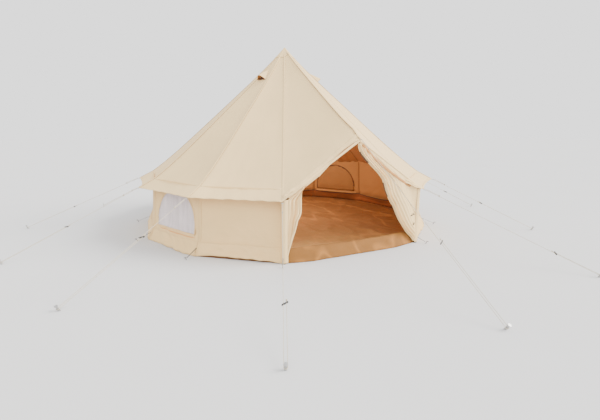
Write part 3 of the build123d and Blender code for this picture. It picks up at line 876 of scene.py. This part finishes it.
def window_outline(grow=0.0, steps=40):
    """The arched window, anticlockwise from the left end of its sill, as x and z on its wall."""
    half = WINDOW_RADIUS + grow
    sill = WINDOW_SILL_Z - grow
    turns = [pi * k / steps for k in range(steps + 1)]
    arc = [(half * cos(a), WINDOW_CENTRE_Z + half * sin(a)) for a in turns]
    count = SILL_POINTS - 1
    base = [(-half + 2 * half * k / count, sill) for k in range(count)]
    return base + [(half, sill)] + arc


def side_outline():
    """The outline of a wall, as x and z."""
    heights = [SEAM_Z * k / 26 for k in range(27)]
    right = [(wall_radius(z) * HALF_SIDE, z) for z in heights]
    half_low, half_top = right[0][0], right[-1][0]
    top = [(half_top - 2 * half_top * k / 34, SEAM_Z) for k in range(1, 34)]
    left = [(-x, z) for x, z in reversed(right)]
    base = [(-half_low + 2 * half_low * k / 34, 0.0) for k in range(1, 34)]
    return right + top + left + base


def wall_band(build, side, route, width, out, lift, inside=False):
    """A band sewn to a wall along a route of x and z points."""
    stations = []
    middle = CORNERS[side] + SIDE_ANGLE / 2
    facing = outward(middle) * (-1 if inside else 1)
    for k, (x, z) in enumerate(route):
        before, after = route[max(k - 1, 0)], route[min(k + 1, len(route) - 1)]
        run = (wall_point(side, *after) - wall_point(side, *before)).normalized()
        across = facing.cross(run).normalized()
        stations.append((wall_point(side, x, z, -out if inside else out), across, run.cross(across) * -1))
    fixed = [(p, a, n if n.dot(facing) > 0 else -n) for p, a, n in stations]
    build.band(fixed, width, lift)


def make_walls():
    outline = side_outline()
    plain, framed = Build(), Build()
    trims, inner, sills = Build(), Build(), Build()
    for side in range(11):
        hole = window_outline() if side in WINDOW_SIDES else None
        target = framed if hole else plain
        target.flat(outline, hole, 0.027, lambda x, z, side=side: wall_point(side, x, z))
        heights = [0.004 + 0.905 * k / 40 for k in range(41)]
        edge = [(wall_radius(z) * HALF_SIDE - 0.018, z) for z in heights]
        wall_band(trims, side, edge, HEM_WIDTH, 0.0008, 0.0024)
        wall_band(trims, side, [(-x, z) for x, z in edge], HEM_WIDTH, 0.0008, 0.0024)
        wall_band(inner, side, edge, HEM_WIDTH, 0.0028, 0.0024, True)
        level = [wall_radius(0.17) * HALF_SIDE * (-0.985 + 1.97 * k / 40) for k in range(41)]
        wall_band(trims, side, [(x, 0.172) for x in level], 0.022, 0.0006, 0.0016)
        if side in WINDOW_SIDES:
            wall_band(sills, side, window_outline(0.054)[:SILL_POINTS], SILL_BAND, 0.0040, 0.0025, True)
            wall_band(inner, side, window_outline(0.084)[:SILL_POINTS], 0.012, 0.0040, 0.0024, True)
            frame_line = window_outline(0.012)
            for route in (frame_line[:SILL_POINTS], frame_line[SILL_POINTS - 1:]):
                wall_band(trims, side, route, 0.026, 0.0008, 0.0028)
    faces = [WALL_CANVAS_PAINTED_BOUNCE, CANVAS_INSIDE_PAINTED_LIGHT]
    wall = piece("wall_cloth_plain", plain, faces, thickness=CLOTH, merge=0.0004,
                 replaces=("plain_wall_panels",))
    windowed = piece("wall_cloth_windowed", framed, faces, thickness=CLOTH,
                     replaces=("window_wall_panels",))
    # Painted shade: the wall's hems are a little darker than its canvas.
    trimming("wall_seams", trims, stitched("wall_hem", scaled(WALL_PAINTED_BOUNCE_COLOUR, 0.94), HEM_WIDTH))
    trimming("wall_seams_inside", inner, HEM_INSIDE)
    band = stitched("sill_band", scaled(INSIDE_PAINTED_LIGHT_COLOUR, 1.25), SILL_BAND)
    trimming("window_sill_bands_inside", sills, band)


def make_windows():
    """Mesh panes, and the covers zipped up behind them."""
    panes = Build()
    for side, label in WINDOW_SIDES.items():
        shape = window_outline(0.004)

        def pane(x, z, side=side):
            slack = 0.012 * ripple(x * 9.0, z * 1.6, 1.0, side) + 0.005 * sin(x * 31 + z * 3 + side)
            edge = min(1.0, distance(shape, x, z) / 0.07)
            return wall_point(side, x, z, -0.0016 + (slack - 0.004) * edge)

        def cover(x, z, side=side):
            slack = 0.007 * ripple(x * 4.0, z * 2.2, 6.0, side) + 0.0035 * sin(x * 17 - 2 * z)
            edge = min(1.0, distance(shape, x, z) / 0.12)
            return wall_point(side, x, z, -0.010 - 0.026 * edge + slack * edge)

        panes.flat(shape, None, 0.030, pane)
        wide = window_outline(0.015)
        back = piece(f"window_cover_cloth_{label}", Build().flat(wide, None, 0.034, cover),
                     [COVER, COVER_INSIDE], body=f"cover_{label}", thickness=0.0012,
                     replaces=(f"window_cover_{label}",))
        low, high = (wall_point(side, 0.0, z) for z in (WINDOW_SILL_Z, WINDOW_CENTRE_Z + WINDOW_RADIUS))
        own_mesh(back)
        zips, tapes = Build(), Build()
        curve = window_outline(0.006, 64)[SILL_POINTS - 1:]
        wall_band(tapes, side, curve, 0.026, 0.0125, 0.0010, True)
        wall_band(zips, side, curve, 0.0085, 0.0138, 0.0026, True)
        zip_pieces(f"window_zip_tape_{label}", tapes, f"window_zip_{label}", zips)
    piece("window_mesh_panes", panes, [SHEER], replaces=("window_meshes",))


make_walls()
make_windows()


# ---------------------------------------------------------------- floor
TUB_RIM = (2.412, 0.170)
FLOOR_CORNER = 2.490
FLOOR_TOP = 0.003
APRON_BACK = -2.205


def crease(x, y, scale, seed):
    """Long narrow ridges, as a folded sheet keeps."""
    n = ripple(x * scale, y * scale * 0.45, 0.0, seed)
    return max(0.0, 1 - abs(n) * 6.0) ** 1.3


def floor_height(x, y):
    rim = min(1.0, max(0.0, (FLOOR_CORNER * APOTHEM - hypot(x, y)) * 5))
    pole = min(1.0, max(0.0, (hypot(x, y) - 0.07) * 8))
    folds = 0.020 * crease(x, y, 1.7, 3) + 0.015 * crease(y, x, 2.6, 7)
    folds += 0.008 * crease(x + y, x - y, 4.1, 11)
    return 0.0024 + (folds + 0.0025 * (1 + ripple(x * 2, y * 2, 0, 5))) * rim * pole


def make_groundsheet():
    outline = [place(a, FLOOR_CORNER, 0).xy for a in CORNERS]
    finer = []
    for a, b in zip(outline, outline[1:] + outline[:1]):
        finer += [tuple(a.lerp(b, k / 24)) for k in range(24)]
    sheet = Build().flat(finer, None, 0.038, lambda x, y: Vector((x, y, floor_height(x, y))))
    ground = piece("groundsheet_cloth", sheet, [FLOOR], thickness=TRIM,
                   replaces=("groundsheet",))


def tub_point(side, share, v):
    """A point of the tub's upstand: share runs along its side, and v up from the floor to the rim."""
    start = CORNERS[side]
    radius = mixed(FLOOR_CORNER, TUB_RIM[0], v)
    p = place(start, radius, 0).lerp(place(start + SIDE_ANGLE, radius, 0), share)
    arch = 4 * share * (1 - share)
    slump = (0.048 + 0.018 * ripple(share * 3, v, 0, side)) * arch * v
    wave = 0.010 * ripple(share * 7, v * 2, 4, side) * v * min(1.0, arch * 3)
    z = FLOOR_TOP + TUB_RIM[1] * v - 0.012 * arch * v * (1 + ripple(share * 4, 0, 8, side))
    return Vector((p.x, p.y, z)) - outward(start + SIDE_ANGLE / 2) * (slump + wave)


def make_tub():
    places = [(k, i / 20) for k in range(11) for i in range(20)] + [(11, 0.0)]
    tub = Build().grid([[tub_point(side, share, j / 9) for side, share in places] for j in range(10)])
    top = [tub_point(side, share, 1.0) for side, share in places]
    inward = [(p, Vector((0, 0, 1)), -Vector((p.x, p.y, 0)).normalized()) for p in top]
    sides = piece("tub_wall_cloth", tub, [TUB_OUTSIDE_PAINTED_SHADE, TUB], thickness=0.0010,
                  replaces=("tub_wall",))
    rim = Build().band(inward, 0.016, 0.003)
    piece("tub_rim_binding", rim, [ZIP_TAPE], thickness=0.001)


def sill_point(share, v):
    """v runs up the sill from its fold in front of the door line to its rim."""
    arch = 4 * share * (1 - share)
    half = mixed(FLOOR_CORNER, TUB_RIM[0], v) * sin(radians(HALF_DOOR))
    foot_y = -2.243 - 0.095 * min(1.0, arch * 1.6)
    rim_y = -2.196 - 0.030 * arch
    y = mixed(foot_y, rim_y, v) - 0.016 * sin(pi * v) * arch
    y += 0.014 * ripple(share * 6, v * 2.5, 0, 31) * min(1.0, arch * 3)
    y -= 0.016 * crease(share * 2.2, v * 0.7, 2.0, 33) * min(1.0, arch * 3) * v * (1 - v) * 4
    z = FLOOR_TOP + (TUB_RIM[1] - 0.014 * arch) * v + 0.012 * ripple(share * 5, v * 2, 3, 32) * v * arch
    return Vector((-half + 2 * half * share, y, z))


def inner_apron(share, v):
    """The floor in front of the tub's fold, out to the sill's foot."""
    foot = sill_point(share, 0.0)
    back = Vector((foot.x, APRON_BACK, FLOOR_TOP))
    return back.lerp(foot, v) + Vector((0, 0, 0.0008))


def make_sill():
    sill = Build().grid([[sill_point(i / 60, 1 - j / 10) for i in range(61)] for j in range(11)])
    sill.grid([[inner_apron(i / 60, 1 - j / 3) for i in range(61)] for j in range(4)])
    front = piece("door_sill_cloth", sill, [SILL], thickness=0.0010)


make_groundsheet()
make_tub()
make_sill()


# ---------------------------------------------------------------- door
# Heights down each flap's free edge, and how far out from the door's middle the edge is there. The
# points were read off the photo and turned into metres on the door's plane.
LEFT_EDGE = [
    (0.976, -0.792), (0.898, -0.839), (0.736, -0.852), (0.635, -0.862), (0.551, -0.908), (0.264, -0.991),
    (0.030, -1.046),
]
RIGHT_EDGE = [
    (1.480, -0.020), (1.316, 0.040), (1.160, 0.212), (1.011, 0.374), (0.913, 0.428), (0.765, 0.489),
    (0.594, 0.601), (0.381, 0.719), (0.232, 0.838), (0.030, 1.010),
]
FLAP_OUTER = 1.046             # where both flaps end, in front of the legs
LEG_FRONT = DOOR_PLANE - 0.026
LEG_OUTSIDE = 1.072 + 0.026
SLEEVE_RADIUS = 0.0165
LEFT_DROP = 0.034              # from a rafter's axis to the top of the flap that hangs from it
RIGHT_DROP = 0.016
FLAP_BEND = 1.35               # how much closer together the right flap's mesh is at its free edge
RIGHT_TIGHTEST = 0.985         # no trim goes nearer to the flap's outer edge than this share of its width


def eased(points, z):
    """x at this height on a smooth line through (z, x) points that go down."""
    for k in range(len(points) - 1):
        (za, xa), (zb, xb) = points[k], points[k + 1]
        if z >= zb or k == len(points) - 2:
            share = max(0.0, min(1.0, (za - z) / (za - zb)))
            before = points[max(k - 1, 0)][1]
            after = points[min(k + 2, len(points) - 1)][1]
            s2, s3 = share * share, share**3
            slope_a, slope_b = (xb - before) * 0.5, (after - xa) * 0.5
            return ((2 * s3 - 3 * s2 + 1) * xa + (s3 - 2 * s2 + share) * slope_a
                    + (3 * s2 - 2 * s3) * xb + (s3 - s2) * slope_b)
    return points[-1][1]


def rafter_x(z, drop):
    """How far out from the middle is a line this far below a rafter's axis, at this height."""
    return (RAFTER_PEAK_Z - z - drop * sqrt(1 + RAFTER_FALL**2)) / RAFTER_FALL


def left_flap(u, z):
    """The left flap, gathered to its leg: u is 0 at the leg and 1 at the free edge."""
    outer = -min(FLAP_OUTER, rafter_x(z, LEFT_DROP))
    inner = max(eased(LEFT_EDGE, z), outer)
    width = max(inner - outer, 0.0)
    x = mixed(outer, inner, u)
    depth = 0.028 * min(1.0, width / 0.10) * (0.15 + 0.85 * u)
    pleat = sin(u * 3.3 * 2 * pi + 1.1 * sin(z * 3.1) + 0.6)
    small = 0.30 * sin(u * 7.5 * 2 * pi + z * 5.0)
    y = LEG_FRONT + 0.004 + depth * (pleat + small - 0.4) + 0.006 * ripple(u * 3, z * 4, 0, 41) * u
    return Vector((x + 0.006 * sin(u * 13 + z * 6) * u * (1 - u) * 4, y, z))


def right_flap_ends(z):
    outer = min(FLAP_OUTER, rafter_x(z, RIGHT_DROP))
    return min(eased(RIGHT_EDGE, z), outer), outer


def right_flap(u, z):
    """The right flap, drawn aside: u is 0 at the free edge and 1 at the leg. Its edge is folded on itself."""
    inner, outer = right_flap_ends(z)
    width = outer - inner
    bent = u ** FLAP_BEND
    x = mixed(inner, outer, bent)
    across = x - inner
    fold = 0.025 * exp(-across / 0.095) * sin(across / 0.050 * 2 * pi + 1.6 + 0.8 * sin(z * 4.0))
    fan = 0.015 * sin(across * 13 + (1.5 - z) * 2.6) * min(1.0, across * 5)
    pull = 0.016 * ripple((x - z * 0.55) * 7.0, (x + z) * 1.1, 0, 43)
    soft = 0.012 * ripple(x * 2.2, z * 1.8, 0, 44)
    belly_out = -0.030 * sin(pi * min(1.0, bent)) * min(1.0, width * 2) * max(0.0, 1 - z / 1.1)
    taper = min(1.0, width / 0.12) * min(1.0, (1 - u) * 7)
    return Vector((x, LEG_FRONT + 0.004 + (fold + fan + pull + soft) * taper + belly_out, z))


def right_flap_at(x, z):
    """The point of the right flap that is this far out at this height."""
    inner, outer = right_flap_ends(z)
    share = (x - inner) / max(outer - inner, 1e-6)
    return right_flap(max(0.0, min(RIGHT_TIGHTEST, share)) ** (1 / FLAP_BEND), z)


def flap_rows(surface, top, low, lines, columns):
    return [
        [surface(i / columns, mixed(top, low, j / lines)) for i in range(columns + 1)]
        for j in range(lines + 1)
    ]


def edge_band(surface, build, u, inset, top, low, width, lift, steps=60):
    """A band down a flap near one edge, on its front."""
    stations = []
    for j in range(steps + 1):
        z = mixed(top, low, j / steps)
        p = surface(u, z) + Vector((inset, 0, 0))
        down = (surface(u, z - 0.01) - surface(u, z + 0.01)).normalized()
        side = Vector((1, 0, 0))
        normal = side.cross(down)
        normal = normal if normal.y < 0 else -normal
        stations.append((p + normal * 0.001, normal.cross(down).normalized(), normal.normalized()))
    build.band(stations, width, lift)


def leg_wrap(sign):
    """The canvas round a leg, from the wall's corner seam to the outer edge of the flap."""
    rows = []
    for j in range(41):
        z = mixed(0.815, 0.012, j / 40)
        radius = wall_radius(z) + 0.002
        seam = place(HALF_DOOR, radius, z)
        flare = max(0.0, seam.x + 0.014 - LEG_OUTSIDE)
        knee = max(0.0, (z - 0.74) / 0.075) * 0.006
        slack = 0.005 * ripple(z * 5.0, sign * 2.0, 0, 47)
        outside = LEG_OUTSIDE + flare + slack + knee
        path = [
            seam,
            Vector((mixed(seam.x, outside, 0.75), mixed(seam.y, DOOR_PLANE, 0.45), z)),
            Vector((outside, DOOR_PLANE + 0.004, z)),
            Vector((outside - 0.005, DOOR_PLANE - 0.018, z)),
            Vector((outside - 0.020, LEG_FRONT - 0.004, z)),
            Vector((FLAP_OUTER - 0.014, LEG_FRONT - 0.001, z)),
        ]
        row = []
        for k in range(len(path) - 1):
            row += [path[k].lerp(path[k + 1], i / 3) for i in range(3)]
        row.append(path[-1])
        rows.append([Vector((sign * p.x, p.y, p.z)) for p in row])
    return rows if sign > 0 else facing_out(rows)


def make_rafter_sleeves():
    """The roof's front hem is sewn round each rafter as a sleeve. The left one has a tail, which closes
    the gap over the top of its flap."""
    sleeves = Build()
    for sign in (-1, 1):
        rows = []
        for k in range(61):
            x = mixed(0.0, 1.030, k / 60)
            centre = Vector((sign * x, DOOR_PLANE, RAFTER_PEAK_Z - RAFTER_FALL * x))
            up = Vector((sign * RAFTER_FALL, 0, 1)).normalized()
            over_joint = 0.0055 * max(0.0, 1 - x / 0.11) ** 0.5
            tail = 1.9 * max(0.0, min(1.0, (x - 0.45) / 0.15)) if sign < 0 else 0.0
            row = []
            for i in range(20):
                a = 2 * pi * i / 20
                slack = 0.0015 * (1 + ripple(x * 14.0, a, sign, 51)) * (0.6 - 0.4 * sin(a))
                bulge = SLEEVE_RADIUS + over_joint + slack
                drawn_down = 1 + tail * max(0.0, -sin(a))
                row.append(centre + Vector((0, 1, 0)) * bulge * cos(a) + up * bulge * sin(a) * drawn_down)
            rows.append(row)
        sleeves.grid(rows if sign > 0 else facing_out(rows), closed=True)
    piece("rafter_sleeves", sleeves, [FLAP])


def make_leg_wraps():
    for label, sign in (("left", -1), ("right", 1)):
        wrap = piece(f"door_leg_wrap_{label}", Build().grid(leg_wrap(sign)), [FLAP, CANVAS_INSIDE_PAINTED_LIGHT],
                     thickness=CLOTH, rides=False)
        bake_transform(wrap)


def make_toggles():
    """Toggles sewn on the right flap by short loops, to hold it when it is tied back."""
    bars, loops = Build(), Build()
    for x, z, turn in ((0.930, 0.430, 0.25), (0.985, 0.440, -0.20), (0.985, 0.300, 1.30)):
        at = right_flap_at(x, z) + Vector((0, -0.010, 0))
        run = Vector((cos(turn), 0, sin(turn)))
        bars.tube([at + run * 0.019 * (-1 + 2 * k / 8) for k in range(9)], 0.0060, 12)
        loops.tube([at + Vector((0, 0.010 * k / 4, 0.010 * k / 4)) for k in range(5)], 0.002, 6)
    piece("flap_toggles", bars, [PLASTIC], body="flap_right")
    piece("flap_toggle_loops", loops, [WEBBING], body="flap_right")


def make_top_painted_shadow():
    """A strip of painted shadow, orange-brown, between the right flap and the roof's edge."""
    facing, stations = Build(), []
    for k in range(49):
        x = mixed(0.045, 0.900, k / 48)
        share = 1 - x / (EAVE_TIP[0] * sin(radians(HALF_DOOR)))
        z = mixed(EAVE_TIP[1], DOOR_PEAK[1], share) - front_drop(1, share) - 0.024
        wave = 0.003 * ripple(x * 9.0, 0.0, 0.0, 61)
        point = right_flap_at(x, z) + Vector((0, -0.004, wave))
        stations.append((point, Vector((0.54, 0, 0.84)), Vector((0, -1, 0))))
    facing.band(stations, 0.032, 0.003)
    trimming("flap_top_painted_shadow", facing, CANVAS_INSIDE_PAINTED_LIGHT, "flap_right")


def make_left_flap():
    left = Build().grid(facing_out(flap_rows(left_flap, 0.972, 0.030, 70, 96)))
    flap = piece("door_flap_cloth_left", left, [FLAP, CANVAS_INSIDE_PAINTED_LIGHT], body="flap_left",
                 thickness=CLOTH, replaces=("door_flap_left",))
    trim = Build()
    edge_band(left_flap, trim, 1.0, -0.010, 0.955, 0.032, 0.022, 0.002)
    band = trimming("door_flap_hem_left", trim, stitched("flap_hem", CANVAS_COLOUR, 0.022), "flap_left")


def make_right_flap():
    right = Build().grid(facing_out(flap_rows(right_flap, 1.470, 0.030, 110, 90)))
    flap = piece("door_flap_cloth_right", right, [FLAP, CANVAS_INSIDE_PAINTED_LIGHT], body="flap_right",
                 thickness=CLOTH, replaces=("door_flap_right",))
    trim, tape, teeth = Build(), Build(), Build()
    edge_band(right_flap, trim, 0.0, 0.012, 1.44, 0.034, 0.024, 0.002)
    edge_band(right_flap, trim, 0.24, 0.0, 1.30, 0.62, 0.020, 0.002)
    for top, low in ((1.360, 1.215), (0.930, 0.735)):
        edge_band(right_flap, tape, 0.0, 0.001, top, low, 0.016, 0.0032, 24)
        edge_band(right_flap, teeth, 0.0, 0.000, top, low, 0.007, 0.0060, 24)
    seam = []                  # a seam that slants down to the flap's outer edge
    for j in range(61):
        z = mixed(1.065, 0.420, j / 60)
        share = (z - 1.065) / (0.500 - 1.065)
        point = right_flap_at(mixed(0.497, 0.992, share), z) + Vector((0, -0.0012, 0))
        seam.append((point, Vector((0.87, 0, 0.49)), Vector((0, -1, 0))))
    trim.band(seam, 0.018, 0.0018)
    hem = stitched("flap_hem_wide", CANVAS_COLOUR, 0.022)
    band = trimming("door_flap_hem_right", trim, hem, "flap_right")
    zip_pieces("door_zip_tape_right", tape, "door_zip_right", teeth, "flap_right")


def mesh_door(sign, points):
    """An insect door, drawn aside behind its flap."""
    def surface(u, z):
        outer = min(1.040, rafter_x(z, 0.026))
        inner = min(eased(points, z), outer)
        x = mixed(inner, outer, u)
        width = outer - inner
        depth = 0.011 * min(1.0, width / 0.1)
        y = DOOR_PLANE + 0.034 + depth * sin(u * 2 * pi * (3.5 + 2 * width) + z * 3) * (1 - 0.5 * u)
        return Vector((sign * x, y, z))
    return surface


# Each insect door's side, top, flat size, cloth area, and its free edge as heights and distances out.
INSECT_DOORS = {
    "left": (-1, 0.880, (0.30, 0.75), 0.11,
             [(0.900, 0.945), (0.700, 0.885), (0.560, 0.930), (0.280, 1.000), (0.185, 1.012)]),
    "right": (1, 1.170, (0.75, 1.05), 0.42,
              [(1.180, 0.455), (0.800, 0.515), (0.600, 0.635), (0.390, 0.752), (0.240, 0.872),
               (0.185, 0.930)]),
}


def make_insect_doors():
    for label, (sign, top, size, area, points) in INSECT_DOORS.items():
        surface = mesh_door(sign, points)
        rows = flap_rows(surface, top, 0.186, 60, 44)
        made = piece(f"insect_door_cloth_{label}", Build().grid(rows), [DOOR_MESH],
                     thickness=0.0006, replaces=(f"insect_door_{label}",))
        tape, teeth = Build(), Build()
        edge_band(surface, tape, 0.0, -0.004 * sign, top - 0.01, 0.190, 0.024, 0.001)
        edge_band(surface, teeth, 0.0, -0.010 * sign, top - 0.01, 0.190, 0.008, 0.0035)
        zip_pieces(f"insect_door_zip_tape_{label}", tape, f"insect_door_zip_{label}", teeth)


make_left_flap()
make_right_flap()
make_rafter_sleeves()
make_leg_wraps()
make_toggles()
make_top_painted_shadow()
make_insect_doors()


# ---------------------------------------------------------------- CAD nodes that keep their shape
def finish_nodes():
    shown = {
        STEEL: ("centre_pole_lower", "centre_pole_middle", "centre_pole_upper", "door_leg_left",
                "door_leg_right", "door_rafter_left", "door_rafter_right"),
        CAST: ("door_knee_joints", "door_peak_joint"),
        RUBBER: ("centre_pole_foot", "centre_pole_cap", "door_leg_feet"),
        ZINC: ("eave_rings", "guy_stakes"),
        BLACK_STEEL: ("wall_pegs",),
        WEBBING: ("eave_tabs", "wall_peg_loops"),
        PLASTIC: tuple(f"guy_runner_{guy[0]}" for guy in GUYS),
    }
    for material, names in shown.items():
        for name in names:
            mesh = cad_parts[name].data
            mesh.materials.clear()
            mesh.materials.append(material)


finish_nodes()


# ---------------------------------------------------------------- floor of the studio, light
def make_stage():
    n = Nodes("studio_floor", 0.9)
    n.shader.inputs["Specular IOR Level"].default_value = 0.0
    colour = n.ramp(n.noise(0.6, 3.0), (0.3, (0.590, 0.595, 0.605)), (0.7, (0.600, 0.605, 0.615)))
    material = n.finish(colour)
    mesh = bpy.data.meshes.new("studio_floor")
    size = 60.0
    corners = [(x * size, y * size, -0.001) for x, y in ((-1, -1), (1, -1), (1, 1), (-1, 1))]
    mesh.from_pydata(corners, [], [(0, 1, 2, 3)])
    ground = link(bpy.data.objects.new("studio_floor", mesh))
    mesh.materials.append(material)


def soft_sun(name, towards, strength, colour):
    """Even light from one direction, as from a wide softbox far away."""
    data = bpy.data.lights.new(name, "SUN")
    data.angle = radians(35)
    data.energy = strength
    data.color = colour
    lamp = link(bpy.data.objects.new(name, data))
    lamp.rotation_euler = Vector(towards).to_track_quat("Z", "Y").to_euler()


def area_light(name, location, aim, size, power, colour):
    data = bpy.data.lights.new(name, "AREA")
    data.shape = "DISK"
    data.size = size
    data.energy = power
    data.color = colour
    lamp = link(bpy.data.objects.new(name, data))
    lamp.location = location
    lamp.rotation_euler = (Vector(aim) - Vector(location)).to_track_quat("-Z", "Y").to_euler()


def make_light():
    world = bpy.data.worlds.new("studio")
    world.use_nodes = True
    world.node_tree.nodes["Background"].inputs["Color"].default_value = (1.0, 1.0, 1.0, 1.0)
    world.node_tree.nodes["Background"].inputs["Strength"].default_value = 1.9
    bpy.context.scene.world = world
    soft_sun("key", (9.0, -5.0, 7.0), 6.2, (1.0, 0.96, 0.90))
    soft_sun("fill", (-6.0, -9.0, 6.5), 1.3, (1.0, 0.96, 0.90))
    area_light("inside", (-0.7, 0.1, 2.0), (-0.3, 0.8, 0.0), 0.6, 95, (1.0, 0.86, 0.70))


make_stage()
make_light()
